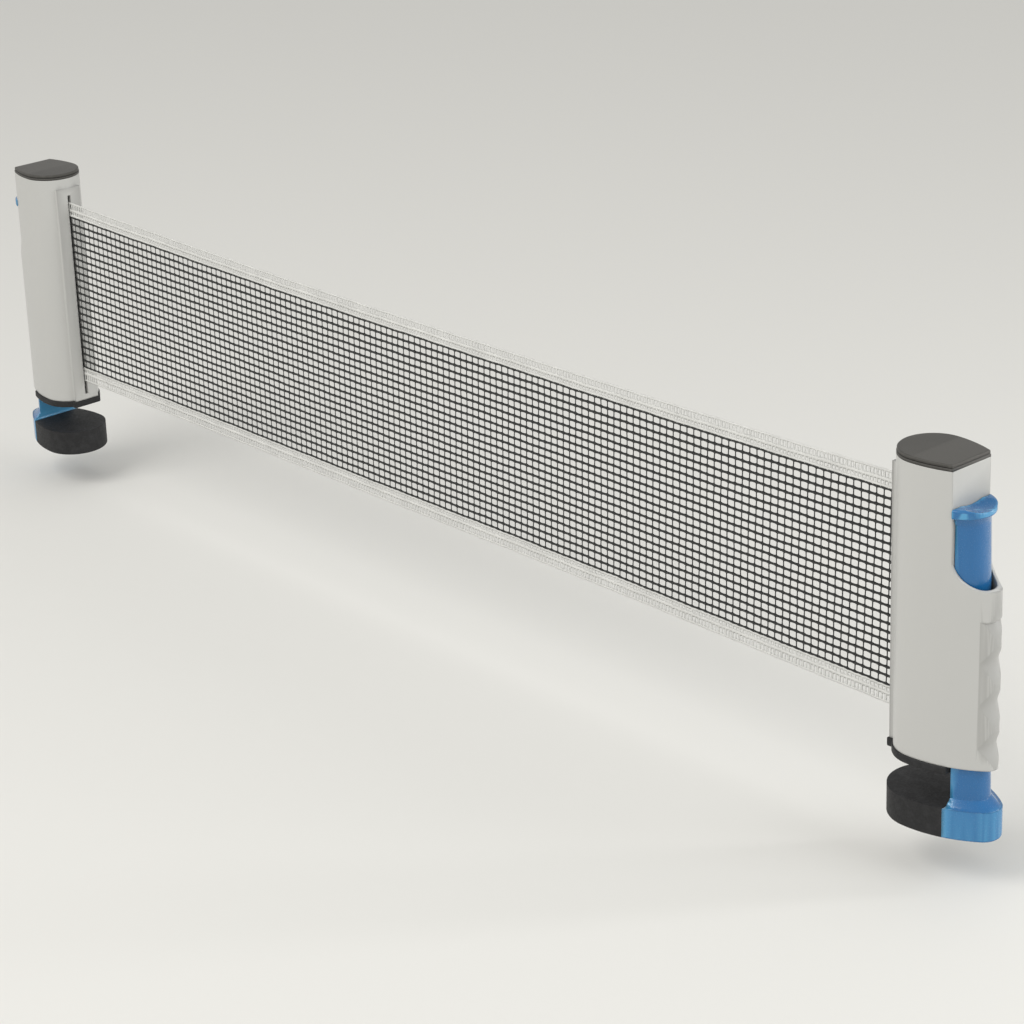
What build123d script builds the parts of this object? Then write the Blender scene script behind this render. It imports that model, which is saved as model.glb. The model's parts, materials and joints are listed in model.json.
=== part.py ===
from build123d import *
from math import cos, pi, sin, sqrt
import os

# Retractable table tennis net set: two equal clamp posts joined by a net that
# winds onto a sprung roller inside each post.
# Row frame, millimetres: the origin is on the table top under the left post, +X
# runs along the net to the right post, +Y along the table's length, +Z up.
# Each post is drawn in its own frame: u points away from the net, v across.

# ---- layout
POST_SPACING = 916.0            # left post origin to right post origin
TABLE_THICKNESS = 21.0          # board held in the stored pose

# ---- post plan: round net end, curved sides, small round outer end
NET_END_R = 22.0
SIDE_R = 76.0
GRIP_END_R = 7.0
FLAT_U = 27.5                   # outer flat above the grip, and the wall behind the slider

# ---- post heights
PAD_T = 5.0
BODY_TOP = 190.8
CAP_T = 4.2
SCOOP_TOP = 134.0               # where the flat starts to curve out
SCOOP_FOOT = 119.0              # where it leaves the grip
SCOOP_PAST = 0.4                # run of the curve past the grip's end
WALL = 2.2
FLAT_WALL = 1.8
SLIDER_WALL = 1.8               # sides of the grip round the slider
ROOM_END_R = 9.5                # outer end of the slider's room
CAP_LOW_T = 1.7                 # cap below its shadow groove
CAP_GROOVE_T = 0.5
CAP_GROOVE_DEPTH = 0.7
CAP_STEP = 0.3                  # upper layer of the cap inside the lower one

# ---- finger grooves in the grip
GROOVE_PITCH = 27.0
GROOVE_COUNT = 4
GROOVE_DEPTH = 3.2
GROOVE_START = PAD_T + 0.6
RIDGE_DROP = 0.15               # ridges below the plain outer end
GROOVE_AXIS_U = 34.4            # upright axis that the grooves bend round
GROOVE_INNER_U = 41.0           # nothing is cut on the net side of this

# ---- net slot and its raised land
SLOT_W = 2.6
SLOT_BOTTOM = 9.5
SLOT_TOP = 177.0
LAND_HALF_W = 10.5
LAND_RISE = 0.9
LAND_TOP = 183.0

# ---- sole
SOLE_PAST = 0.9                 # sole proud of the housing
TOE_PAST = 1.1                  # toe under the land, proud of the land
TOE_HALF_W = 12.5

# ---- net
NET_H = 150.0
NET_BOTTOM = 21.0
BAND_H = 11.54
MESH_T = 0.5

# ---- net chamber and roller
PARTITION_U = FLAT_U - FLAT_WALL    # net side of the wall between net and slider
ROLLER_U = -3.0
ROLLER_V = -7.8
TUBE_R = 5.6
TUBE_BORE_R = 4.7
TUBE_BOTTOM = 14.5
TUBE_TOP = 171.5
ROLL_R = 7.25
AXLE_R = 1.5
AXLE_BOTTOM = 6.2
AXLE_TOP = 184.0
PLUG_LEN = 12.0
PLUG_FLANGE_R = 7.2
PLUG_FLANGE_T = 1.6
JOURNAL_R = 3.0
JOURNAL_LEN = 4.6
BUSH_R = 4.6
RUN_GAP = 0.05                  # radial clearance of the turning fits

# ---- roller spring
RSPRING_R = 3.3
RSPRING_WIRE_R = 0.35
RSPRING_TURNS = 26
RSPRING_BOTTOM = 52.0
RSPRING_LEN = 86.0
COLLAR_R = 4.2
COLLAR_LEN = 8.0

# ---- base plate and top bracket
PLATE_T = 3.0
PLATE_GAP = 0.15
BRACKET_Z = 177.5
BRACKET_T = 2.6
BOSS_R = 3.4
PILOT_R = 1.1
SCREW_R = 1.45
SCREW_HEAD_R = 2.0
SCREW_HEAD_T = 1.3
BASE_SCREW_LEN = 9.0
BRACKET_SCREW_LEN = 6.5
BRACKET_SCREWS = ((7.0, 16.6), (7.0, -16.6), (-13.0, 12.0))
BASE_SCREWS = BRACKET_SCREWS + ((-13.0, -12.0),)

# ---- clamp slider
STEM_GAP = 0.4                  # to the inside of the grip and to the flat
STEM_LOW_END_R = 9.7            # the stem's front tapers upwards
STEM_TOP_END_R = 15.0
STEM_BACK_U = FLAT_U + STEM_GAP
STEM_WALL = 2.6
CHANNEL_BOTTOM = 24.0           # channel in the stem's back, for the spring
CHANNEL_TOP = 152.0
CHANNEL_END_R = 11.5
THUMB_TOP = 168.0
THUMB_RIM_T = 6.0
THUMB_FLARE = 4.0
THUMB_SIDE = 1.0                # pad proud of the post's sides
THUMB_END_R = 18.0
THUMB_ROUND = 1.5
DISH_R = 34.0
DISH_DEPTH = 2.5
DISH_U = 37.0
FOOT_H = 19.5
FOOT_GROW = 3.5
FOOT_END_R = 12.0
FOOT_BACK_U = 27.0
FLARE_H = 5.0
FLARE_STEP = 1.6                # ledge round the foot's shoulder and under the thumb rim
TONGUE_T = 9.0
TONGUE_HALF_W = 13.0
TONGUE_END_U = -14.0
TONGUE_ROOT = 2.0

# ---- clamp spring
CSPRING_U = 32.3
CSPRING_R = 3.0
CSPRING_WIRE_R = 0.45
CSPRING_TURNS = 20
CSPRING_BOTTOM = 44.0
CSPRING_TOP = 110.0
CSPRING_BEND_R = 0.7            # rounded corners of the hooks' wire
ANCHOR_Z = 120.0
SLIDER_PIN_Z = 34.0
SLIDER_PIN_HALF = 11.3
PIN_R = 1.5
HOOK_R = PIN_R + CSPRING_WIRE_R + 0.08

TOP = BODY_TOP + CAP_T
JAW_TOP = -TABLE_THICKNESS
SIDE_CENTRE_V = NET_END_R - SIDE_R      # the side arcs are tangent to the net end
FAR = 120.0                     # beyond every part of one post


def end_centre(inset, end_r):
    """u of the centre of an outer end that is tangent to both side arcs."""
    return sqrt((SIDE_R - inset - end_r) ** 2 - SIDE_CENTRE_V ** 2)


GRIP_END = end_centre(0, GRIP_END_R) + GRIP_END_R


def on_side(u, inset):
    """Half width of the plan on its side arc at u."""
    return SIDE_CENTRE_V + sqrt((SIDE_R - inset) ** 2 - u ** 2)


def egg(inset=0.0, end_r=None):
    """Plan of the post moved inwards by inset, or one with another outer end."""
    r_end = GRIP_END_R - inset if end_r is None else end_r
    r_net = NET_END_R - inset
    centre = end_centre(inset, r_end)
    past = r_end / (SIDE_R - inset - r_end)
    join_u, join_v = centre * (1 + past), -SIDE_CENTRE_V * past
    mid_u = join_u / 2
    mid_v = on_side(mid_u, inset)
    net_arc = ThreePointArc((0, r_net), (-r_net, 0), (0, -r_net))
    low_side = ThreePointArc((0, -r_net), (mid_u, -mid_v), (join_u, -join_v))
    end_arc = ThreePointArc((join_u, -join_v), (centre + r_end, 0), (join_u, join_v))
    high_side = ThreePointArc((join_u, join_v), (mid_u, mid_v), (0, r_net))
    return make_face([net_arc, low_side, end_arc, high_side])


def prism(face, z0, z1):
    """Upright block with the plan of face from z0 to z1."""
    return extrude(Pos(0, 0, z0) * face, z1 - z0)


def block(u0, u1, v0, v1, z0, z1):
    return Pos((u0 + u1) / 2, (v0 + v1) / 2, (z0 + z1) / 2) * Box(u1 - u0, v1 - v0, z1 - z0)


def rod(r, u, v, z0, z1):
    return Pos(u, v, (z0 + z1) / 2) * Cylinder(r, z1 - z0)


def beam(r, u, z, v0, v1):
    """Round bar that runs across the post."""
    return Pos(u, (v0 + v1) / 2, z) * Rot(90, 0, 0) * Cylinder(r, v1 - v0)


def inboard(u, z0, z1):
    """Everything on the net side of u."""
    return block(-FAR, u, -FAR, FAR, z0, z1)


def outboard(u, z0, z1):
    return block(u, FAR, -FAR, FAR, z0, z1)


def scoop():
    """Cutter for the flat and the curve that runs out through the grip."""
    u0 = FLAT_U
    reach = GRIP_END + SCOOP_PAST - FLAT_U
    drop = SCOOP_TOP - SCOOP_FOOT
    end = (u0 + reach, SCOOP_FOOT)
    mid = (u0 + reach * (1 - cos(pi / 4)), SCOOP_TOP - drop * sin(pi / 4))
    curve = ThreePointArc((u0, SCOOP_TOP), mid, end)
    rest = Polyline((end[0], end[1]), (FAR, SCOOP_FOOT), (FAR, FAR * 2), (u0, FAR * 2),
                    (u0, SCOOP_TOP))
    profile = Plane.XZ * make_face([curve, *rest.edges()])
    return extrude(profile, FAR, both=True)


def grooves():
    """Cutter for the finger grooves: one wavy face that bends round the grip's outer end."""
    ridge_r = GRIP_END - RIDGE_DROP - GROOVE_AXIS_U
    points = []
    for i in range(2 * GROOVE_COUNT + 1):
        depth = GROOVE_DEPTH if i % 2 else 0
        points.append((ridge_r - depth, GROOVE_START + GROOVE_PITCH * i / 2))
    wave = Spline(*points, tangents=[(0, 1), (0, 1)])
    low, high = points[0], points[-1]
    rest = Polyline((high[0], high[1]), (FAR, high[1]), (FAR, low[1]), (low[0], low[1]))
    round_cut = revolve(Plane.XZ * make_face([wave, *rest.edges()]), Axis.Z)
    return (Pos(GROOVE_AXIS_U, 0, 0) * round_cut) & outboard(GROOVE_INNER_U, 0, SCOOP_TOP)


def bracket_bosses():
    low = BRACKET_Z - BRACKET_SCREW_LEN + 1.0
    return [rod(BOSS_R, u, v, low, BRACKET_Z) for u, v in BRACKET_SCREWS]


def base_bosses():
    top = PAD_T + PLATE_T + BASE_SCREW_LEN
    return [rod(BOSS_R, u, v, PAD_T + PLATE_T, top) for u, v in BASE_SCREWS]


def housing():
    """Light grey shell of the post, open at the top and the bottom."""
    shell = prism(egg(), PAD_T, BODY_TOP)
    land_r = NET_END_R + LAND_RISE
    land = block(-land_r, -NET_END_R / 2, -LAND_HALF_W, LAND_HALF_W, PAD_T, LAND_TOP)
    shell = shell + land - scoop() - grooves()
    net_room = prism(egg(WALL), PAD_T - 1, BODY_TOP + 1) & inboard(PARTITION_U, 0, FAR * 2)
    slider_room = prism(egg(SLIDER_WALL, ROOM_END_R), PAD_T - 1, SCOOP_TOP + 1)
    shell = shell - net_room - (slider_room & outboard(FLAT_U, 0, FAR * 2))
    slot = block(-NET_END_R * 2, -NET_END_R / 2, -SLOT_W / 2, SLOT_W / 2, SLOT_BOTTOM, SLOT_TOP)
    shell = shell - slot
    full = prism(egg(WALL / 2), PAD_T, BODY_TOP) & inboard(PARTITION_U + 0.5, 0, FAR * 2)
    for boss in bracket_bosses() + base_bosses():
        shell = shell + (boss & full)
    for u, v in BRACKET_SCREWS:
        shell = shell - rod(PILOT_R, u, v, BRACKET_Z - BRACKET_SCREW_LEN + 2.0, BRACKET_Z + 1)
    for u, v in BASE_SCREWS:
        shell = shell - rod(PILOT_R, u, v, 0, PAD_T + PLATE_T + BASE_SCREW_LEN - 1.0)
    # boss for the clamp spring's anchor pin, on the slider side of the partition
    boss = Pos(FLAT_U + 1, 0, ANCHOR_Z) * Rot(0, 90, 0) * Cylinder(PIN_R + 1.6, 3.0)
    hole = Pos(PARTITION_U + 3, 0, ANCHOR_Z) * Rot(0, 90, 0) * Cylinder(PIN_R, 8.0)
    return shell + boss - hole


def cap_layer(inset, z0, z1):
    return prism(egg(inset), z0, z1) & inboard(FLAT_U - inset, z0 - 1, z1 + 1)


def cap():
    """Dark top cover in two layers with a shadow groove between them, and a skirt below."""
    groove_z = BODY_TOP + CAP_LOW_T
    top_z = groove_z + CAP_GROOVE_T
    upper = cap_layer(CAP_STEP, top_z, TOP)
    upper = chamfer(upper.faces().sort_by(Axis.Z)[-1].edges(), 0.5)
    neck = cap_layer(CAP_GROOVE_DEPTH, groove_z, top_z)
    plate = cap_layer(0.0, BODY_TOP, groove_z) + neck + upper
    skirt_out = prism(egg(WALL + PLATE_GAP), BODY_TOP - 4, BODY_TOP)
    skirt_in = prism(egg(WALL + 1.6), BODY_TOP - 5, BODY_TOP)
    skirt = (skirt_out - skirt_in) & inboard(PARTITION_U - PLATE_GAP, 0, FAR * 2)
    return plate + skirt


def plate_plan(margin):
    """Plan that fits inside the net chamber with a margin to its walls."""
    return prism(egg(WALL + margin), 0, FAR * 2) & inboard(PARTITION_U - margin, 0, FAR * 2)


def base_plate():
    """Plate that closes the net chamber from below and holds the lower bush."""
    plate = plate_plan(PLATE_GAP) & block(-FAR, FAR, -FAR, FAR, PAD_T, PAD_T + PLATE_T)
    seat = rod(BUSH_R + 1.6, ROLLER_U, ROLLER_V, PAD_T + PLATE_T, PAD_T + PLATE_T + 2.2)
    plate = plate + seat
    plate = plate - rod(BUSH_R, ROLLER_U, ROLLER_V, AXLE_BOTTOM + 1.0, FAR)
    plate = plate - rod(AXLE_R, ROLLER_U, ROLLER_V, AXLE_BOTTOM, FAR)
    for u, v in BASE_SCREWS:
        plate = plate - rod(SCREW_R + 0.2, u, v, 0, FAR)
        plate = plate - rod(SCREW_HEAD_R + 0.2, u, v, 0, PAD_T + SCREW_HEAD_T)
    return plate


def base_pad():
    """Black rubber sole; its straight edge faces the net."""
    sole = prism(egg(-SOLE_PAST), 0, PAD_T) & inboard(FOOT_BACK_U, -1, PAD_T + 1)
    toe_u = -NET_END_R - LAND_RISE - TOE_PAST
    toe = block(toe_u, -NET_END_R / 2, -TOE_HALF_W, TOE_HALF_W, 0, PAD_T)
    toe = chamfer(toe.edges().filter_by(Axis.Z).group_by(Axis.X)[0], 1.2)
    return sole + toe


def top_bracket():
    """Plate under the cap that carries the roller's upper bush and the axle."""
    top = BRACKET_Z + BRACKET_T
    plate = plate_plan(PLATE_GAP + 0.4) & block(-FAR, FAR, -FAR, FAR, BRACKET_Z, top)
    seat = rod(BUSH_R + 1.6, ROLLER_U, ROLLER_V, BRACKET_Z - 2.4, top)
    plate = plate + seat
    plate = plate - rod(BUSH_R, ROLLER_U, ROLLER_V, 0, top - 0.8)
    plate = plate - rod(AXLE_R, ROLLER_U, ROLLER_V, 0, FAR * 2)
    for u, v in BRACKET_SCREWS:
        plate = plate - rod(SCREW_R + 0.2, u, v, 0, FAR * 2)
    return plate


def screw(u, v, z_seat, up, length):
    """Self-tapping screw; up is +1 when its shank points up from the head."""
    tip = z_seat + up * length
    head_end = z_seat - up * SCREW_HEAD_T
    shank = rod(PILOT_R, u, v, min(z_seat, tip), max(z_seat, tip))
    head = rod(SCREW_HEAD_R, u, v, min(z_seat, head_end), max(z_seat, head_end))
    slot_z = head_end + up * 0.35
    cross = block(u - 1.5, u + 1.5, v - 0.3, v + 0.3, slot_z - 0.35, slot_z + 0.35)
    cross = cross + block(u - 0.3, u + 0.3, v - 1.5, v + 1.5, slot_z - 0.35, slot_z + 0.35)
    return shank + head - cross


def base_screws():
    seat = PAD_T + SCREW_HEAD_T
    return [screw(u, v, seat, 1, BASE_SCREW_LEN) for u, v in BASE_SCREWS]


def bracket_screws():
    seat = BRACKET_Z + BRACKET_T
    return [screw(u, v, seat, -1, BRACKET_SCREW_LEN) for u, v in BRACKET_SCREWS]


def at_roller(shape):
    return Pos(ROLLER_U, ROLLER_V, 0) * shape


def ring(r_out, r_in, z0, z1):
    return rod(r_out, 0, 0, z0, z1) - rod(r_in, 0, 0, z0 - 1, z1 + 1)


def roller_tube():
    """Tube that the net winds on, with a groove for the net's key strip."""
    tube = ring(TUBE_R, TUBE_BORE_R, TUBE_BOTTOM, TUBE_TOP)
    groove = block(-TUBE_R - 1, -TUBE_BORE_R - 0.3, -0.9, 0.9, TUBE_BOTTOM - 1, TUBE_TOP + 1)
    return at_roller(tube - groove)


def key_strip():
    """Strip that locks the net's end in the tube's groove."""
    strip = block(-TUBE_R, -TUBE_BORE_R - 0.3, -0.8, 0.8, NET_BOTTOM, NET_BOTTOM + NET_H)
    return at_roller(strip & ring(TUBE_R, TUBE_BORE_R, 0, FAR * 2))


def net_roll():
    """Turns of net that stay on the tube."""
    return at_roller(ring(ROLL_R, TUBE_R, NET_BOTTOM, NET_BOTTOM + NET_H))


def lower_plug():
    """Lower end plug of the tube, with the journal that turns in the lower bush."""
    z = TUBE_BOTTOM
    plug = ring(TUBE_BORE_R, AXLE_R + 0.4, z, z + PLUG_LEN)
    plug = plug + ring(PLUG_FLANGE_R, AXLE_R + 0.4, z - PLUG_FLANGE_T, z)
    z_journal = z - PLUG_FLANGE_T
    return at_roller(plug + ring(JOURNAL_R, AXLE_R + 0.4, z_journal - JOURNAL_LEN, z_journal))


def upper_plug():
    """Upper end plug of the tube, which the roller spring drives."""
    z = TUBE_TOP
    plug = ring(TUBE_BORE_R, AXLE_R + 0.4, z - PLUG_LEN, z)
    plug = plug + ring(PLUG_FLANGE_R, AXLE_R + 0.4, z, z + PLUG_FLANGE_T)
    z_journal = z + PLUG_FLANGE_T
    return at_roller(plug + ring(JOURNAL_R, AXLE_R + 0.4, z_journal, z_journal + JOURNAL_LEN))


def lower_bush():
    top = PAD_T + PLATE_T + 3.0
    bush = ring(BUSH_R, JOURNAL_R + RUN_GAP, AXLE_BOTTOM + 1.0, top)
    flange = ring(BUSH_R + 1.2, JOURNAL_R + RUN_GAP, PAD_T + PLATE_T + 2.2, top)
    return at_roller(bush + flange)


def upper_bush():
    bottom = BRACKET_Z - 3.2
    bush = ring(BUSH_R, JOURNAL_R + RUN_GAP, bottom, BRACKET_Z + BRACKET_T - 0.8)
    flange = ring(BUSH_R + 1.2, JOURNAL_R + RUN_GAP, bottom, BRACKET_Z - 2.4)
    return at_roller(bush + flange)


def axle():
    """Fixed steel axle, with a neck for its clip."""
    bar = rod(AXLE_R, 0, 0, AXLE_BOTTOM, AXLE_TOP)
    z = BRACKET_Z + BRACKET_T
    return at_roller(bar - ring(AXLE_R + 1, AXLE_R - 0.4, z + 0.1, z + 0.9))


def axle_clip():
    """Spring clip in the axle's neck, on top of the bracket."""
    z = BRACKET_Z + BRACKET_T
    clip = ring(AXLE_R + 1.6, AXLE_R - 0.4, z + 0.15, z + 0.85)
    return at_roller(clip - block(0, FAR, -0.9, 0.9, z - 1, z + 2))


def collar():
    """Collar fixed on the axle that holds the lower end of the roller spring."""
    z = RSPRING_BOTTOM - RSPRING_WIRE_R - 0.1
    body = ring(COLLAR_R, AXLE_R, z - COLLAR_LEN, z)
    body = body + ring(RSPRING_R - RSPRING_WIRE_R - 0.1, AXLE_R, z, z + 5.0)
    return at_roller(body)


def coil(r, wire_r, turns, z0, length):
    """Round-wire coil about the Z axis."""
    path = Pos(0, 0, z0) * Helix(pitch=length / turns, height=length, radius=r)
    start = path.edge() if hasattr(path, "edge") else path
    section = Plane(origin=start @ 0, z_dir=start % 0) * Circle(wire_r)
    return sweep(section, path=start, is_frenet=True)


def roller_spring():
    return at_roller(coil(RSPRING_R, RSPRING_WIRE_R, RSPRING_TURNS, RSPRING_BOTTOM, RSPRING_LEN))


def stem_egg(end_r):
    """Outline of the stem, which has a blunter outer end than the post."""
    return egg(SLIDER_WALL + STEM_GAP, end_r)


def thumb_pad():
    """Dished pad with a rounded rim, flared out of the stem's top."""
    rim_z = THUMB_TOP - THUMB_RIM_T
    clear = outboard(STEM_BACK_U, rim_z - THUMB_FLARE, TOP)
    rim = prism(egg(-THUMB_SIDE, THUMB_END_R), rim_z, THUMB_TOP) & clear
    rim = fillet(rim.edges().filter_by(GeomType.CIRCLE).filter_by(Plane.XY), THUMB_ROUND)
    low = Pos(0, 0, rim_z - THUMB_FLARE) * stem_egg(STEM_TOP_END_R)
    high = Pos(0, 0, rim_z + 1) * egg(FLARE_STEP - THUMB_SIDE, THUMB_END_R - FLARE_STEP)
    dish = Pos(DISH_U, 0, THUMB_TOP + DISH_R - DISH_DEPTH) * Sphere(DISH_R)
    return rim + (loft([low, high]) & clear) - dish


def foot_block(z0, z1):
    """Upright block with the plan of the foot and its boot, rounded below."""
    body = prism(egg(-FOOT_GROW, FOOT_END_R), z0, z1)
    low_edges = body.faces().sort_by(Axis.Z)[0].edges()
    return fillet(low_edges, 1.5)


def foot_flare():
    """Sloped shoulder between the stem and the foot."""
    base = egg(FLARE_STEP - FOOT_GROW, FOOT_END_R - FLARE_STEP)
    flare = loft([Pos(0, 0, JAW_TOP) * base, Pos(0, 0, JAW_TOP + FLARE_H) * stem_egg(STEM_LOW_END_R)])
    return flare & outboard(STEM_BACK_U, JAW_TOP - 1, JAW_TOP + FLARE_H + 1)


def tongue(root):
    """Flat tongue under the table, up to root past the back of the foot."""
    z_mid = JAW_TOP - FOOT_H / 2
    bar = block(TONGUE_END_U, FOOT_BACK_U + root, -TONGUE_HALF_W, TONGUE_HALF_W,
                z_mid - TONGUE_T / 2, z_mid + TONGUE_T / 2)
    return fillet(bar.edges().filter_by(Axis.Z).group_by(Axis.X)[0], 6.0)


def clamp_slider():
    """Blue slider in one piece: thumb pad, channelled stem, foot and jaw tongue."""
    low_end = Pos(0, 0, JAW_TOP - 1) * stem_egg(STEM_LOW_END_R)
    top_end = Pos(0, 0, THUMB_TOP - THUMB_RIM_T + 1) * stem_egg(STEM_TOP_END_R)
    stem = loft([low_end, top_end])
    channel = prism(egg(SLIDER_WALL + STEM_GAP + STEM_WALL, CHANNEL_END_R), CHANNEL_BOTTOM, CHANNEL_TOP)
    body = (stem - channel) & outboard(STEM_BACK_U, -FAR, FAR * 2)
    foot = foot_block(JAW_TOP - FOOT_H, JAW_TOP) & outboard(FOOT_BACK_U, -FAR, 0)
    body = body + foot + foot_flare() + thumb_pad() + tongue(TONGUE_ROOT)
    return body - beam(PIN_R, CSPRING_U, SLIDER_PIN_Z, -SLIDER_PIN_HALF, SLIDER_PIN_HALF)


def jaw_boot():
    """Black rubber sleeve on the tongue, which grips the table from below."""
    boot = foot_block(JAW_TOP - FOOT_H, JAW_TOP) & inboard(FOOT_BACK_U, -FAR, 0)
    return boot - tongue(1.0)


def hook(z_pin, z_coil):
    """Wire loop round a pin, joined to the coil by a straight leg."""
    wire = CSPRING_WIRE_R
    reach = HOOK_R
    loop = Pos(0, 0, z_pin) * Rot(0, 90, 0) * Torus(reach, wire)
    sink = wire / 2
    toward = 1 if z_coil > z_pin else -1
    z0 = z_pin + toward * (reach - sink)
    z1 = z_coil + toward * 0.1
    leg = rod(wire, 0, 0, min(z0, z1), max(z0, z1))
    return loop + leg


def clamp_spring():
    """Extension spring: the coil hangs between the anchor pin and the slider's pin."""
    length = CSPRING_TOP - CSPRING_BOTTOM
    body = coil(CSPRING_R, CSPRING_WIRE_R, CSPRING_TURNS, CSPRING_BOTTOM, length)
    cross = Pos(CSPRING_R / 2, 0, 0) * Rot(0, 90, 0) * Cylinder(CSPRING_WIRE_R, CSPRING_R)
    bend = Sphere(CSPRING_BEND_R)
    turns = {CSPRING_TOP: (ANCHOR_Z, 0), CSPRING_BOTTOM: (SLIDER_PIN_Z, 90)}
    for z_coil, (z_pin, turn) in turns.items():
        body = body + Pos(0, 0, z_coil) * (cross + bend + Pos(CSPRING_R, 0, 0) * bend)
        body = body + Rot(0, 0, turn) * hook(z_pin, z_coil)
    return Pos(CSPRING_U, 0, 0) * body


def anchor_pin():
    """Steel pin in the partition that holds the spring's upper hook."""
    length = CSPRING_U + 3.4 - PARTITION_U
    pin = Pos(PARTITION_U + length / 2, 0, ANCHOR_Z) * Rot(0, 90, 0) * Cylinder(PIN_R, length)
    head_u = CSPRING_U + 1.4
    head = Pos(head_u + 1.0, 0, ANCHOR_Z) * Rot(0, 90, 0) * Cylinder(PIN_R + 0.8, 2.0)
    return pin + head


def slider_pin():
    """Steel pin across the stem that holds the spring's lower hook."""
    return beam(PIN_R, CSPRING_U, SLIDER_PIN_Z, -SLIDER_PIN_HALF, SLIDER_PIN_HALF)


POST_NODES = {
    "housing": housing,
    "cap": cap,
    "base_plate": base_plate,
    "base_pad": base_pad,
    "top_bracket": top_bracket,
    "base_screws": base_screws,
    "bracket_screws": bracket_screws,
    "roller_axle": axle,
    "axle_clip": axle_clip,
    "spring_collar": collar,
    "roller_spring": roller_spring,
    "lower_bush": lower_bush,
    "upper_bush": upper_bush,
    "roller_tube": roller_tube,
    "lower_plug": lower_plug,
    "upper_plug": upper_plug,
    "key_strip": key_strip,
    "net_roll": net_roll,
    "clamp_slider": clamp_slider,
    "jaw_boot": jaw_boot,
    "slider_pin": slider_pin,
    "anchor_pin": anchor_pin,
    "clamp_spring": clamp_spring,
}


def net_span(z0, z1, thick):
    """Flat length of net from one roller's tangent point to the other's."""
    start = -ROLLER_U
    end = POST_SPACING + ROLLER_U
    return block(start, end, -thick / 2, thick / 2, z0, z1)


NET_NODES = {
    "net_mesh": net_span(NET_BOTTOM + BAND_H, NET_BOTTOM + NET_H - BAND_H, MESH_T),
    "lower_band": net_span(NET_BOTTOM, NET_BOTTOM + BAND_H, MESH_T),
    "upper_band": net_span(NET_BOTTOM + NET_H - BAND_H, NET_BOTTOM + NET_H, MESH_T),
}


def as_list(made):
    return made if isinstance(made, list) else [made]


def save(name, pieces):
    """Write one node; a group of equal fasteners is one compound."""
    shape = pieces[0] if len(pieces) == 1 else Compound(children=pieces)
    export_step(shape, f"parts/{name}.step")


os.makedirs("parts", exist_ok=True)
PLACES = {"left": Rot(0, 0, 180), "right": Pos(POST_SPACING, 0, 0)}
for node, build in POST_NODES.items():
    made = as_list(build())
    for side, place in PLACES.items():
        save(f"{side}_{node}", [place * piece for piece in made])
for node, shape in NET_NODES.items():
    save(node, [shape])
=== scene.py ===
import json
import math

import bmesh
import bpy
import numpy as np
from mathutils import Matrix, Vector

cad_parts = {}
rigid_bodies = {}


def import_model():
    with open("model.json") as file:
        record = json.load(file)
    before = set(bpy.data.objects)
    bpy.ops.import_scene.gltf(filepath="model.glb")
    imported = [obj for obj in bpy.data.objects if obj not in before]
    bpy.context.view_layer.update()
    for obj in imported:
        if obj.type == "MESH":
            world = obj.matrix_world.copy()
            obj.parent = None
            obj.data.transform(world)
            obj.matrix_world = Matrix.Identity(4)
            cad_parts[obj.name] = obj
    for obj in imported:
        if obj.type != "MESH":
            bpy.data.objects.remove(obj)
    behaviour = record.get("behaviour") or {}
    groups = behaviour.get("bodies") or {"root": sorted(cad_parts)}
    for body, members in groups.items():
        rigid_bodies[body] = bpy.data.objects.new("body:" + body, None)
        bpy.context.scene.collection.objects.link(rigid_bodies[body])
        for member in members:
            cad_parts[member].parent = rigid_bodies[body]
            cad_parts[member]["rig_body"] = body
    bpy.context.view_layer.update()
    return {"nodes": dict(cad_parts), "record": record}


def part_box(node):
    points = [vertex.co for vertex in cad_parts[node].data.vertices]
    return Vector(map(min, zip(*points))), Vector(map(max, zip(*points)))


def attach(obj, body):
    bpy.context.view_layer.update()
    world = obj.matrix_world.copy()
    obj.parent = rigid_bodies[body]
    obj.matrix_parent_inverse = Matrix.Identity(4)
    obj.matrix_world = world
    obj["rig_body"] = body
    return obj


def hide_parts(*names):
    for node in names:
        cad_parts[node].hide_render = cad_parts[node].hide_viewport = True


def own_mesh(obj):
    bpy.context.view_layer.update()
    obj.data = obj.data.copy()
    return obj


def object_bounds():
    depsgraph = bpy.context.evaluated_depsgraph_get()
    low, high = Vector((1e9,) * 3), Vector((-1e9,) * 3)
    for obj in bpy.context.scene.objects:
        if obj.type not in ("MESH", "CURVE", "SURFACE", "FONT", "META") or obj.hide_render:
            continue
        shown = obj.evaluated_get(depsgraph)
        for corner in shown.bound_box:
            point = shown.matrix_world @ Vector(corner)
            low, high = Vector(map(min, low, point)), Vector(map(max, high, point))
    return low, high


# Table tennis net set: looks of the two clamp posts and of the net between them.
# Metres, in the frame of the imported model.

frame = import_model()
SIDES = ("left", "right")


# ---- camera, at the photograph's viewing angle
CAMERA_AT = Vector((1.921, -1.200, 0.790))
CAMERA_YAW = math.radians(48.84)
CAMERA_DOWN = math.radians(20.06)
CAMERA_ROLL = math.radians(-2.14)
CAMERA_LENS = 101.4
CAMERA_SHIFT = -0.0977          # the photograph's frame, held to what the other views allow

forward = Vector((-math.sin(CAMERA_YAW) * math.cos(CAMERA_DOWN),
                  math.cos(CAMERA_YAW) * math.cos(CAMERA_DOWN),
                  -math.sin(CAMERA_DOWN)))
camera = bpy.data.objects.new("camera", bpy.data.cameras.new("camera"))
bpy.context.scene.collection.objects.link(camera)
camera.data.lens = CAMERA_LENS
camera.data.shift_y = CAMERA_SHIFT
camera.data.clip_start = 0.05
camera.data.clip_end = 20.0
aim = forward.to_track_quat("-Z", "Y").to_matrix().to_4x4()
camera.matrix_world = Matrix.Translation(CAMERA_AT) @ aim @ Matrix.Rotation(CAMERA_ROLL, 4, "Z")
bpy.context.scene.camera = camera


# ---- node helpers

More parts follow.
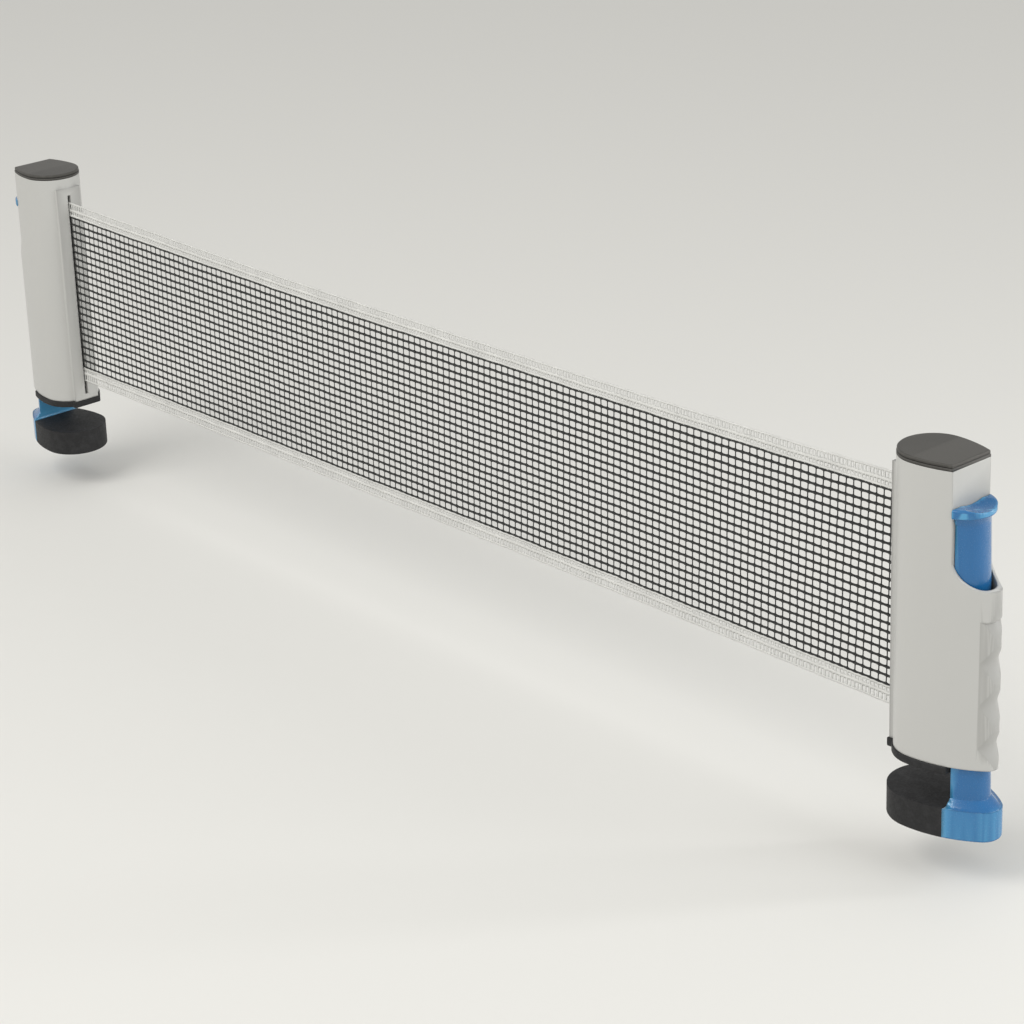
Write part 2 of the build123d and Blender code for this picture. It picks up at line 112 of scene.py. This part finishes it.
EDGE_ROUND = 0.0007             # rounding of moulded edges in the shading
SHELL_ROUND = 0.0014            # the same on the housing's thicker edges
ROUND_SAMPLES = 6
FLOW_DEPTH = 1.2e-4             # heights of the bumps, in metres
PEBBLE_DEPTH = 5e-5
SKIN_DEPTH = 1e-4
MARK_DEPTH = 1.5e-5
PLY_DEPTH = 1.2e-4
FUZZ_DEPTH = 6e-5


def new_material(name):
    mat = bpy.data.materials.new(name)
    mat.use_nodes = True
    tree = mat.node_tree
    return mat, tree, tree.nodes["Principled BSDF"]


def add(tree, kind, values=None, **settings):
    """A node with its settings and the values of its unlinked inputs."""
    node = tree.nodes.new(kind)
    for key, value in settings.items():
        setattr(node, key, value)
    for key, value in (values or {}).items():
        node.inputs[key].default_value = value
    return node


def place(tree, stretch=(1, 1, 1)):
    """Object coordinates, which are metres in the row frame, stretched by axis."""
    coords = add(tree, "ShaderNodeTexCoord")
    mapping = add(tree, "ShaderNodeMapping", {"Scale": stretch})
    tree.links.new(coords.outputs["Object"], mapping.inputs["Vector"])
    return mapping.outputs["Vector"]


def noise(tree, scale, detail=3.0, stretch=(1, 1, 1), rough=0.5):
    node = add(tree, "ShaderNodeTexNoise", {"Scale": scale, "Detail": detail, "Roughness": rough})
    tree.links.new(place(tree, stretch), node.inputs["Vector"])
    return node.outputs["Fac"]


def spread(tree, value, low, high, from_low=0.3, from_high=0.7):
    """Value mapped from its usual span to low..high."""
    node = add(tree, "ShaderNodeMapRange", {"From Min": from_low, "From Max": from_high,
                                            "To Min": low, "To Max": high})
    tree.links.new(value, node.inputs["Value"])
    return node.outputs["Result"]


def mix(tree, factor, a, b):
    """Colour between a and b; each is a colour or another node's output."""
    node = add(tree, "ShaderNodeMix", data_type="RGBA")
    for slot_name, value in (("A", a), ("B", b)):
        socket = [s for s in node.inputs if s.name == slot_name and s.type == "RGBA"][0]
        if isinstance(value, bpy.types.NodeSocket):
            tree.links.new(value, socket)
        else:
            socket.default_value = (*value, 1.0)
    tree.links.new(factor, node.inputs["Factor"])
    return [s for s in node.outputs if s.type == "RGBA"][0]


def bumps(tree, shader, heights, round_edge=None):
    """Chain of bumps; each height is (output, depth in metres). round_edge softens hard edges."""
    normal = None
    if round_edge:
        normal = add(tree, "ShaderNodeBevel", {"Radius": round_edge},
                     samples=ROUND_SAMPLES).outputs["Normal"]
    for height, depth in heights:
        node = add(tree, "ShaderNodeBump", {"Distance": depth, "Strength": 1.0})
        tree.links.new(height, node.inputs["Height"])
        if normal is not None:
            tree.links.new(normal, node.inputs["Normal"])
        normal = node.outputs["Normal"]
    tree.links.new(normal, shader.inputs["Normal"])


def moulded(name, base, light, dark, rough, grain=1400.0, grain_depth=2.5e-5, coat=0.0,
            specular=0.5, round_edge=EDGE_ROUND):
    """Moulded plastic: fine eroded grain, faint flow marks, scuffs, and convex edges made lighter,
    partly rubbed wear and partly a painted edge highlight.
    """
    mat, tree, shader = new_material(name)
    cloud = spread(tree, noise(tree, 28.0, 4.0), 0.0, 1.0)
    flow = spread(tree, noise(tree, 90.0, 3.0, stretch=(1, 1, 0.12)), 0.0, 0.55)
    fine = noise(tree, grain, 2.0)
    scuff = spread(tree, noise(tree, 420.0, 5.0, stretch=(1.0, 1.0, 0.25), rough=0.7), 0.0, 1.0,
                   0.60, 0.74)
    colour = mix(tree, cloud, base, [(b + d) / 2 for b, d in zip(base, dark)])
    colour = mix(tree, flow, colour, base)
    # convex edges mixed toward the light colour: partly rubbed wear, partly a painted edge
    # highlight
    edge_wear_and_highlight = add(tree, "ShaderNodeNewGeometry").outputs["Pointiness"]
    colour = mix(tree, spread(tree, edge_wear_and_highlight, 0.0, 0.6, 0.51, 0.57), colour, light)
    tree.links.new(colour, shader.inputs["Base Color"])
    rough_map = add(tree, "ShaderNodeMath", operation="ADD")
    tree.links.new(spread(tree, fine, rough - 0.05, rough + 0.05), rough_map.inputs[0])
    tree.links.new(spread(tree, scuff, 0.0, 0.10, 0.0, 1.0), rough_map.inputs[1])
    tree.links.new(rough_map.outputs["Value"], shader.inputs["Roughness"])
    bumps(tree, shader, [(noise(tree, 35.0, 2.0), FLOW_DEPTH), (fine, grain_depth)], round_edge)
    shader.inputs["Coat Weight"].default_value = coat
    shader.inputs["Coat Roughness"].default_value = 0.12
    shader.inputs["Specular IOR Level"].default_value = specular
    shader.inputs["IOR"].default_value = 1.49
    return mat


def rubber(name, base, rough):
    """Soft black rubber: pebbled skin with paler dusty patches."""
    mat, tree, shader = new_material(name)
    dust = spread(tree, noise(tree, 160.0, 6.0, rough=0.65), 0.0, 0.5, 0.45, 0.75)
    colour = mix(tree, dust, base, [b * 2.4 + 0.01 for b in base])
    tree.links.new(colour, shader.inputs["Base Color"])
    pebble = add(tree, "ShaderNodeTexVoronoi", {"Scale": 1500.0})
    tree.links.new(place(tree), pebble.inputs["Vector"])
    tree.links.new(spread(tree, noise(tree, 700.0, 3.0), rough - 0.08, rough + 0.08),
                   shader.inputs["Roughness"])
    bumps(tree, shader, [(pebble.outputs["Distance"], PEBBLE_DEPTH),
                         (noise(tree, 90.0, 3.0), SKIN_DEPTH)], EDGE_ROUND)
    shader.inputs["Specular IOR Level"].default_value = 0.35
    return mat


def metal(name, base, rough, stretch):
    """Drawn or plated metal with fine marks along its length."""
    mat, tree, shader = new_material(name)
    marks = noise(tree, 1200.0, 4.0, stretch=stretch)
    stain = spread(tree, noise(tree, 120.0, 4.0), 0.0, 0.5)
    tree.links.new(mix(tree, stain, base, [b * 0.72 for b in base]), shader.inputs["Base Color"])
    tree.links.new(spread(tree, marks, rough - 0.08, rough + 0.1), shader.inputs["Roughness"])
    bumps(tree, shader, [(marks, MARK_DEPTH)])
    shader.inputs["Metallic"].default_value = 1.0
    return mat


def yarn(name, base, fleck, twist, sheen):
    """Twisted yarn: U runs along each strand, in metres, and V round it."""
    mat, tree, shader = new_material(name)
    uv = add(tree, "ShaderNodeTexCoord").outputs["UV"]
    turns = add(tree, "ShaderNodeMapping", {"Scale": (twist, 2.0, 1.0)})
    tree.links.new(uv, turns.inputs["Vector"])
    ply = add(tree, "ShaderNodeTexWave", {"Scale": 1.0, "Distortion": 1.2, "Detail": 2.0},
              bands_direction="DIAGONAL")
    tree.links.new(turns.outputs["Vector"], ply.inputs["Vector"])
    fuzz = noise(tree, 2600.0, 4.0)
    shade = spread(tree, noise(tree, 60.0, 3.0), 0.0, 0.45)
    colour = mix(tree, spread(tree, ply.outputs["Fac"], 0.0, 0.7, 0.0, 1.0), base, fleck)
    colour = mix(tree, shade, colour, [b * 0.7 for b in base])
    tree.links.new(colour, shader.inputs["Base Color"])
    tree.links.new(spread(tree, fuzz, 0.7, 0.92), shader.inputs["Roughness"])
    bumps(tree, shader, [(ply.outputs["Fac"], PLY_DEPTH), (fuzz, FUZZ_DEPTH)])
    shader.inputs["Sheen Weight"].default_value = sheen
    shader.inputs["Sheen Roughness"].default_value = 0.5
    return mat


# moulded colours: base, light (edge colour for rubbed wear and painted edge highlight), dark
MATERIALS = {
    "housing_grey": moulded("housing_grey", (0.405, 0.402, 0.386), (0.60, 0.60, 0.58),
                            (0.360, 0.357, 0.341), 0.34, round_edge=SHELL_ROUND),
    "cap_grey": moulded("cap_grey", (0.027, 0.0255, 0.0225), (0.13, 0.125, 0.115),
                        (0.016, 0.015, 0.013), 0.46, specular=0.3),
    "inner_black": moulded("inner_black", (0.022, 0.022, 0.023), (0.06, 0.06, 0.06),
                           (0.012, 0.012, 0.012), 0.5),
    "clamp_blue": moulded("clamp_blue", (0.007, 0.128, 0.340), (0.12, 0.45, 0.72),
                          (0.005, 0.100, 0.285), 0.24, grain_depth=1.2e-5, coat=0.45),
    "bush_white": moulded("bush_white", (0.74, 0.74, 0.71), (0.85, 0.85, 0.83),
                          (0.66, 0.66, 0.62), 0.4),
    "rubber_black": rubber("rubber_black", (0.014, 0.014, 0.015), 0.62),
    "steel": metal("steel", (0.60, 0.60, 0.58), 0.32, (1, 1, 0.1)),
    "spring_steel": metal("spring_steel", (0.48, 0.48, 0.47), 0.36, (1, 1, 1)),
    "tube_aluminium": metal("tube_aluminium", (0.80, 0.81, 0.82), 0.34, (1, 1, 0.05)),
    "net_dark": yarn("net_dark", (0.007, 0.008, 0.0075), (0.024, 0.026, 0.025), 900.0, sheen=0.10),
    "band_white": yarn("band_white", (0.74, 0.74, 0.71), (0.86, 0.86, 0.84), 900.0, sheen=0.35),
}


# ---- pieces from CAD nodes

WELD = 2e-6                     # corners nearer than this are one
FLAT_ANGLE = math.radians(0.6)  # faces that differ less are one
ROUND_ANGLE = math.radians(50)  # edges sharper than this are rounded
SHARP_ANGLE = math.radians(34)  # edges sharper than this stay crisp in the shading


def put_material(obj, name):
    obj.data.materials.clear()
    obj.data.materials.append(MATERIALS[name])


# the housing's plan: a round net end, side arcs and a round grip end, which meet tangent
PLAN_NET_R, PLAN_SIDE_R, PLAN_GRIP_R = 0.022, 0.076, 0.007
PLAN_GRIP_U = 0.042953          # centre of the grip end
PLAN_NEAR = 8e-5                # how near the plan a point of a plain wall lies
WALL_TILT = 0.4                 # a wall's faces point up or down less than this
WALL_FACING = 0.4               # and lie this much along the plan's direction or more


def plan_normal(x, y):
    """Outward direction at a point of a post's plan, or None off the plan."""
    join_x = PLAN_GRIP_U * (1 + PLAN_GRIP_R / (PLAN_SIDE_R - PLAN_GRIP_R))
    centre_x, centre_y, radius = 0.0, -math.copysign(PLAN_SIDE_R - PLAN_NET_R, y), PLAN_SIDE_R
    if x > join_x:
        centre_x, centre_y, radius = PLAN_GRIP_U, 0.0, PLAN_GRIP_R
    elif x < 0:
        centre_y, radius = 0.0, PLAN_NET_R
    out = Vector((x - centre_x, y - centre_y, 0.0))
    return out.normalized() if abs(out.length - radius) < PLAN_NEAR else None


def shade_walls(mesh, post_x, way):
    """Exact normals on the housing's plain walls, whose long triangles shade unevenly."""
    normals = [Vector(corner.vector) for corner in mesh.corner_normals]
    for poly in mesh.polygons:
        spots = [mesh.vertices[i].co for i in poly.vertices]
        found = [plan_normal(way * (co.x - post_x), way * co.y) for co in spots]
        if abs(poly.normal.z) > WALL_TILT or any(normal is None for normal in found):
            continue
        for corner, normal in zip(poly.loop_indices, found):
            if way * normal.dot(poly.normal) > WALL_FACING:
                normals[corner] = way * normal
    mesh.normals_split_custom_set(normals)


def softened(node, slot_name, width):
    """Piece that stands for a CAD node: same shape, smooth faces, hard edges rounded by width."""
    source = frame["nodes"][node]
    mesh = source.data.copy()
    bm = bmesh.new()
    bm.from_mesh(mesh)
    bmesh.ops.remove_doubles(bm, verts=bm.verts, dist=WELD)
    if width:
        bmesh.ops.dissolve_limit(bm, angle_limit=FLAT_ANGLE, verts=bm.verts, edges=bm.edges,
                                 use_dissolve_boundaries=False)
    bm.to_mesh(mesh)
    bm.free()
    obj = bpy.data.objects.new(node + "_shell", mesh)
    bpy.context.scene.collection.objects.link(obj)
    if width:
        edge = obj.modifiers.new("edge", "BEVEL")
        edge.width = width
        edge.segments = 2
        edge.limit_method = "ANGLE"
        edge.angle_limit = ROUND_ANGLE
        edge.use_clamp_overlap = True
        edge.miter_outer = "MITER_ARC"
    for poly in mesh.polygons:
        poly.use_smooth = True
    mesh.set_sharp_from_angle(angle=SHARP_ANGLE)
    even = obj.modifiers.new("even", "WEIGHTED_NORMAL")
    even.keep_sharp = True
    view = bpy.context.evaluated_depsgraph_get()
    shaped = bpy.data.meshes.new_from_object(obj.evaluated_get(view))
    obj.modifiers.clear()
    obj.data = shaped
    put_material(obj, slot_name)
    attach(obj, source["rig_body"])
    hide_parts(node)
    return obj


POSTS = {"left": (0.0, -1), "right": (0.916, 1)}    # middle of each post, and which way it faces
slots = {part["node"]: part["material_slot"] for part in frame["record"]["subparts"]}
SOFTENED = {"housing": 0, "cap": 0, "base_pad": 0.0006, "clamp_slider": 0, "jaw_boot": 0.0006}
for node, obj in frame["nodes"].items():
    put_material(obj, slots[node])
    if node.split("_", 1)[0] in SIDES:
        kind = node.split("_", 1)[1]
        if kind in SOFTENED:
            shell = softened(node, slots[node], SOFTENED[kind])
            if kind == "housing":
                shade_walls(shell.data, *POSTS[node.split("_", 1)[0]])


# ---- net

NET_LOW, NET_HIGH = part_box("lower_band")[0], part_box("upper_band")[1]
ROWS = 26                       # mesh cells over the net's height
BORDER = 2                      # of them white, at the top and at the bottom
ROW = (NET_HIGH.z - NET_LOW.z) / ROWS
COLUMNS = 150
COLUMN = (NET_HIGH.x - NET_LOW.x) / COLUMNS
TOP_SAG = 0.0050
FOOT_RISE = 0.0015
LEAN = 0.035
BILLOW = 0.0005
STRAND_SIDES = 4
PER_CELL = 3                    # rings of a strand in each cell
EDGE_CELLS = 8.0                # cells at each post over which the net comes to hang free
WAVER_X, WAVER_Y, WAVER_Z = 0.00028, 0.0001, 0.00026
KNOT_REACH = 0.34               # reach of a knot, in cells
UPRIGHT_SWELL = 0.3


def waver(a, b, k):
    """Smooth fixed unevenness, about -1 to 1."""
    return (np.sin(a * 1.9 + b * 2.7 + k) + np.sin(a * 0.83 - b * 1.31 + 2.1 * k)
            + np.sin(a * 0.37 + b * 0.53 + 3.3 * k)) / 3


def net_point(column, row):
    """Place of a point of the net, by column and row counted in cells."""
    t = column / COLUMNS
    bow = 4 * t * (1 - t)
    up = row / ROWS
    hold = np.clip(np.minimum(column, COLUMNS - column) / EDGE_CELLS, 0, 1)
    x = NET_LOW.x + column * COLUMN + hold * (LEAN * (row - ROWS / 2) * ROW
                                              + WAVER_X * waver(column, row, 0.4))
    z = NET_LOW.z + row * ROW + bow * (FOOT_RISE * (1 - up) - TOP_SAG * up)
    z = z + hold * WAVER_Z * waver(column, row, 1.7)
    y = BILLOW * bow * np.sin(11.0 * t + 1.6 * up) + WAVER_Y * waver(column, row, 2.9)
    return np.stack([x, y, z], axis=-1)


class Strands:
    """Many strands gathered into one mesh."""

    def __init__(self):
        self.points, self.faces, self.uvs, self.count = [], [], [], 0

    def strand(self, line, across, half_wide, half_thick):
        """Tube along line; across is the unit direction of its width in the net's plane."""
        n = len(line)
        turn = np.arange(STRAND_SIDES) * 2 * np.pi / STRAND_SIDES
        wide = half_wide[:, None, None] * np.cos(turn)[None, :, None] * np.array(across)
        thick = half_thick[:, None, None] * np.sin(turn)[None, :, None] * np.array((0, 1, 0))
        ring = line[:, None, :] + wide + thick
        self.points.append(ring.reshape(-1, 3))
        along = np.concatenate([[0], np.cumsum(np.linalg.norm(np.diff(line, axis=0), axis=1))])
        k = np.arange(STRAND_SIDES)
        k_next = (k + 1) % STRAND_SIDES
        i = np.arange(n - 1)[:, None] * STRAND_SIDES
        quads = np.stack([i + k, i + k_next, i + STRAND_SIDES + k_next, i + STRAND_SIDES + k],
                         axis=-1).reshape(-1, 4)
        self.faces.append(quads + self.count)
        u0, u1 = np.repeat(along[:-1], STRAND_SIDES), np.repeat(along[1:], STRAND_SIDES)
        v0 = np.tile(k / STRAND_SIDES, n - 1)
        v1 = v0 + 1 / STRAND_SIDES
        self.uvs.append(np.stack([u0, v0, u0, v1, u1, v1, u1, v0], axis=-1).reshape(-1, 2))
        caps = np.array([k[::-1], (n - 1) * STRAND_SIDES + k]) + self.count
        self.faces.append(caps)
        self.uvs.append(np.zeros((2 * STRAND_SIDES, 2)))
        self.count += n * STRAND_SIDES

    def piece(self, name, slot_name):
        mesh = bpy.data.meshes.new(name)
        faces = np.concatenate(self.faces)
        mesh.from_pydata(np.concatenate(self.points).tolist(), [], faces.tolist())
        layer = mesh.uv_layers.new(name="strand")
        layer.data.foreach_set("uv", np.concatenate(self.uvs).astype(np.float32).ravel())
        mesh.shade_smooth()
        obj = bpy.data.objects.new(name, mesh)
        bpy.context.scene.collection.objects.link(obj)
        put_material(obj, slot_name)
        return obj


def knotted(position, half, swell):
    """Half width of a strand that swells at each whole cell."""
    near = np.abs(position - np.round(position))
    return half * (1 + swell * np.clip(1 - near / KNOT_REACH, 0, 1) ** 2)


def level(strands, row, half_wide, half_thick, swell):
    """One strand along the net at a row."""
    column = np.linspace(0, COLUMNS, COLUMNS * PER_CELL + 1)
    line = net_point(column, np.full_like(column, row))
    strands.strand(line, (0, 0, 1), knotted(column, half_wide, swell),
                   knotted(column, half_thick, swell))


def upright(strands, column, low, high, half_wide, half_thick):
    """One strand up the net at a column, between two rows."""
    row = np.linspace(low, high, int((high - low) * PER_CELL) + 1)
    line = net_point(np.full_like(row, column), row)
    strands.strand(line, (1, 0, 0), knotted(row, half_wide, UPRIGHT_SWELL),
                   knotted(row, half_thick, UPRIGHT_SWELL))


# strands: half width and half thickness in metres, then how much the level ones swell at knots
MESH_LEVEL = (0.00086, 0.00036, 0.5)
MESH_UPRIGHT = (0.00050, 0.00026)
LACE_EDGE = (0.00085, 0.00038, 0.12)
LACE_MIDDLE = (0.00140, 0.00030, 0.35)
LACE_INNER = (0.00110, 0.00028, 0.25)
LACE_UPRIGHT = (0.00090, 0.00022)
LACE_HALF_UPRIGHT = (0.00062, 0.00022)
LACE_INSET = 0.22               # cells from the inner strand to the dark mesh

mesh_strands = Strands()
for row in range(BORDER, ROWS - BORDER + 1):
    level(mesh_strands, row, *MESH_LEVEL)
for column in range(COLUMNS + 1):
    upright(mesh_strands, column, BORDER, ROWS - BORDER, *MESH_UPRIGHT)
net_mesh = mesh_strands.piece("net_strands", "net_dark")
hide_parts("net_mesh")


def band(name, node, outer, inner):
    """White lace border: a corded outer edge and close uprights between its rows."""
    strands = Strands()
    step = 1 if inner > outer else -1
    level(strands, outer, *LACE_EDGE)
    level(strands, outer + step, *LACE_MIDDLE)
    level(strands, inner - LACE_INSET * step, *LACE_INNER)
    low, high = min(outer, inner), max(outer, inner)
    for half_column in range(2 * COLUMNS + 1):
        size = LACE_UPRIGHT if half_column % 2 == 0 else LACE_HALF_UPRIGHT
        upright(strands, half_column / 2, low, high, *size)
    obj = strands.piece(name, "band_white")
    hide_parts(node)
    return obj


upper = band("net_upper_lace", "upper_band", ROWS, ROWS - BORDER)
lower = band("net_lower_lace", "lower_band", 0, BORDER)

for obj in (net_mesh, upper, lower):
    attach(obj, "left_post")
    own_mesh(obj)

ROLL_TURNS = 3.5
ROLL_STEPS = 56                 # points round one turn
ROLL_LAYER = 0.00034            # thickness of one wound layer
ROLL_ROWS = 2 * ROWS
ROLL_SKIN = 0.7                 # solid share of a layer; strands stand on the rest
ROLL_STRAND = 0.00012           # how far strands stand in and out
ROLL_UNEVEN = 0.00004


def net_roll(side):
    """Turns of net wound on a roller: one spiral strip with a row of strands at each mesh row."""
    low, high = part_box(side + "_net_roll")
    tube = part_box(side + "_roller_tube")
    middle = (low + high) / 2
    inner = (tube[1].y - tube[0].y) / 2
    outer = (high.y - low.y) / 2 - ROLL_LAYER
    steps = int(ROLL_TURNS * ROLL_STEPS)
    bm = bmesh.new()
    rings = []
    for i in range(steps + 1):
        angle = 2 * math.pi * i / ROLL_STEPS
        base = inner + (outer - inner) * i / steps
        ring = []
        for face_out in (0, 1):
            for row in range(ROLL_ROWS + 1):
                at_row = row if face_out == 0 else ROLL_ROWS - row
                strand = ROLL_STRAND * (1 if at_row % 2 == 0 else -1) * face_out
                across = ROLL_UNEVEN * math.sin(i * 2.6 + at_row * 1.9) * face_out
                r = base + ROLL_LAYER * face_out * ROLL_SKIN + strand + across
                z = low.z + (high.z - low.z) * at_row / ROLL_ROWS
                ring.append(bm.verts.new((middle.x + r * math.cos(angle),
                                          middle.y + r * math.sin(angle), z)))
        rings.append(ring)
    count = len(rings[0])
    for a, b in zip(rings[:-1], rings[1:]):
        for k in range(count):
            bm.faces.new((a[k], b[k], b[(k + 1) % count], a[(k + 1) % count]))
    bm.faces.new(rings[0])
    bm.faces.new(list(reversed(rings[-1])))
    bmesh.ops.recalc_face_normals(bm, faces=bm.faces)
    mesh = bpy.data.meshes.new(side + "_net_winding")
    bm.to_mesh(mesh)
    bm.free()
    mesh.shade_smooth()
    obj = bpy.data.objects.new(side + "_net_winding", mesh)
    bpy.context.scene.collection.objects.link(obj)
    put_material(obj, "net_dark")
    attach(obj, side + "_roller")
    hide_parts(side + "_net_roll")


for side in SIDES:
    net_roll(side)


# ---- studio

def area_light(name, at, target, size, power, colour):
    lamp = bpy.data.lights.new(name, "AREA")
    lamp.shape = "RECTANGLE"
    lamp.size, lamp.size_y = size
    lamp.energy = power
    lamp.color = colour
    obj = bpy.data.objects.new(name, lamp)
    bpy.context.scene.collection.objects.link(obj)
    direction = Vector(target) - Vector(at)
    obj.matrix_world = (Matrix.Translation(at)
                        @ direction.to_track_quat("-Z", "Y").to_matrix().to_4x4())
    return obj


TRAVEL_DOWN = 0.030             # the clamps come down less than this
FLOOR_HALF = 12.0
floor_mesh = bpy.data.meshes.new("floor")
floor_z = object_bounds()[0][2] - TRAVEL_DOWN
corners = [(x * FLOOR_HALF, y * FLOOR_HALF, floor_z)
           for x, y in ((-1, -1), (1, -1), (1, 1), (-1, 1))]
floor_mesh.from_pydata(corners, [], [(0, 1, 2, 3)])
floor = bpy.data.objects.new("floor", floor_mesh)
bpy.context.scene.collection.objects.link(floor)
floor_mat, _, floor_shader = new_material("studio_floor")
floor_shader.inputs["Base Color"].default_value = (0.72, 0.715, 0.69, 1.0)
floor_shader.inputs["Roughness"].default_value = 0.9
floor_mesh.materials.append(floor_mat)

world = bpy.data.worlds.new("studio")
world.use_nodes = True
world.node_tree.nodes["Background"].inputs["Color"].default_value = (1.0, 0.995, 0.97, 1.0)
world.node_tree.nodes["Background"].inputs["Strength"].default_value = 0.70
bpy.context.scene.world = world
SET_MIDDLE = (0.6, 0.0, 0.08)
RIGHT_POST = (0.95, 0.0, 0.08)
WHITE = (1.0, 1.0, 1.0)
LIGHTS = (                      # name, place, aim, size, power in watts, colour
    ("key", (0.2, -1.6, 2.0), SET_MIDDLE, (1.6, 1.2), 27.0, (1.0, 0.98, 0.95)),
    ("fill", (2.6, 0.6, 1.2), SET_MIDDLE, (1.2, 1.2), 12.0, (0.96, 0.98, 1.0)),
    ("edge", (1.55, -0.95, 0.35), RIGHT_POST, (0.06, 0.7), 0.7, WHITE),
    ("far edge", (1.5, 0.75, 0.4), RIGHT_POST, (0.10, 0.7), 2.4, WHITE),
)
for light in LIGHTS:
    area_light(*light)
bpy.context.scene.view_settings.view_transform = "Standard"
